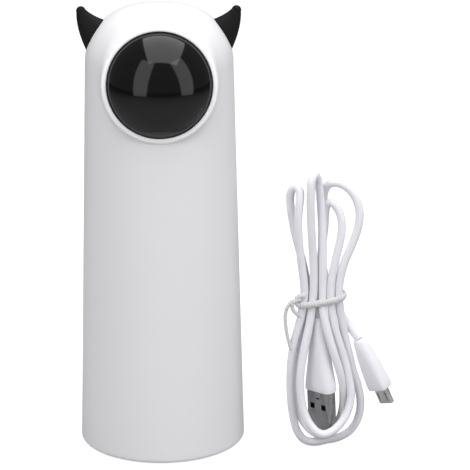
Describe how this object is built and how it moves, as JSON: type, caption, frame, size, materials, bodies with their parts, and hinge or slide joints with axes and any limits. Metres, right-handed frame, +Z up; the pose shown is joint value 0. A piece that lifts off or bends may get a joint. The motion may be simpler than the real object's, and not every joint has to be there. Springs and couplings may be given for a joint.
{
  "type": "automatic cat laser toy",
  "caption": "White tapering tower with a domed head, two black horns and a big black dome eye; a motor unit inside pans and tilts a small laser. Charging cable beside it.",
  "frame": {"origin": "centre of the foot pad's underside, on the floor", "axes": "+Z up along the tower; the eye and front face -Y; +X is to the right when looking at the eye"},
  "size_m": [0.1269, 0.0716, 0.18],
  "materials": {
    "white_shell": "satin",
    "white_base": "matte",
    "pad_rubber": "matte",
    "screw_steel": "satin",
    "smoked_dome": "gloss",
    "horn_black": "matte",
    "frame_grey": "matte",
    "cell_wrap": "gloss",
    "holder_black": "matte",
    "contact_nickel": "satin",
    "lead_red": "satin",
    "board_green": "gloss",
    "chip_black": "matte",
    "plug_metal": "satin",
    "button_grey": "satin",
    "led_lens": "gloss",
    "gearbox_brass": "satin",
    "motor_steel": "satin",
    "gear_white": "satin",
    "lens_glass": "gloss",
    "cable_white": "satin",
    "plug_white": "satin",
    "tie_white": "satin"
  },
  "bodies": {
    "tower": {"base_cover": "white_base", "base_screws": "screw_steel", "battery_cell": "cell_wrap", "battery_contacts": "contact_nickel", "battery_holder": "holder_black", "battery_leads": "lead_red", "board_chips": "chip_black", "board_screws": "screw_steel", "cable_hank": "cable_white", "cable_tie": "tie_white", "charging_socket": "plug_metal", "control_board": "board_green", "eye_bezel": "white_shell", "eye_dome": "smoked_dome", "foot_pad": "pad_rubber", "frame_screws": "screw_steel", "horn_left": "horn_black", "horn_right": "horn_black", "inner_frame": "frame_grey", "light_pipe": "led_lens", "main_housing": "white_shell", "micro_lead": "cable_white", "micro_plug_body": "plug_white", "micro_plug_shell": "plug_metal", "motor_leads": "lead_red", "pan_bush": "gearbox_brass", "pan_gearbox": "gearbox_brass", "pan_motor_can": "motor_steel", "pan_motor_screws": "screw_steel", "socket_tongue": "holder_black", "status_led": "led_lens", "switch_body": "holder_black", "usb_lead": "cable_white", "usb_plug_body": "plug_white", "usb_plug_shell": "plug_metal", "usb_plug_tongue": "plug_white"},
    "button": {"power_button": "button_grey", "switch_plunger": "holder_black"},
    "pan": {"pan_gear": "gear_white", "pan_retainer": "screw_steel", "laser_yoke": "frame_grey", "yoke_screws": "screw_steel", "tilt_motor": "motor_steel", "tilt_motor_strap": "motor_steel", "strap_screws": "screw_steel"},
    "pan_pinion": {"pan_pinion": "gear_white"},
    "tilt": {"tilt_sector": "gear_white", "tilt_pivot_pin": "screw_steel", "laser_cradle": "frame_grey", "laser_barrel": "gearbox_brass", "laser_lens": "lens_glass", "laser_driver": "board_green"},
    "tilt_pinion": {"tilt_pinion": "gear_white"}
  },
  "joints": [
    {"name": "power_press", "type": "slide", "parent": "tower", "child": "button", "axis": [0, -1, 0], "range_m": [0, 0.0006], "stiffness_N_per_m": 1500},
    {"name": "pan_turn", "type": "hinge", "parent": "tower", "child": "pan", "pos_m": [0, -0.006, 0.1207], "axis": [0, 0, 1], "range_deg": [-35, 35]},
    {"name": "pan_pinion_spin", "type": "hinge", "parent": "tower", "child": "pan_pinion", "pos_m": [0.01386, 0.002, 0.1207], "axis": [0, 0, 1], "range_deg": [-105.5, 105.5]},
    {"name": "tilt_turn", "type": "hinge", "parent": "pan", "child": "tilt", "pos_m": [0, -0.006, 0.1487], "axis": [1, 0, 0], "range_deg": [-10, 25]},
    {"name": "tilt_pinion_spin", "type": "hinge", "parent": "pan", "child": "tilt_pinion", "pos_m": [0, -0.006, 0.1347], "axis": [1, 0, 0], "range_deg": [-63, 25.5]}
  ],
  "couplings": [
    {"joint": "pan_pinion_spin", "follows": "pan_turn", "ratio": -3},
    {"joint": "tilt_pinion_spin", "follows": "tilt_turn", "ratio": -2.5}
  ]
}
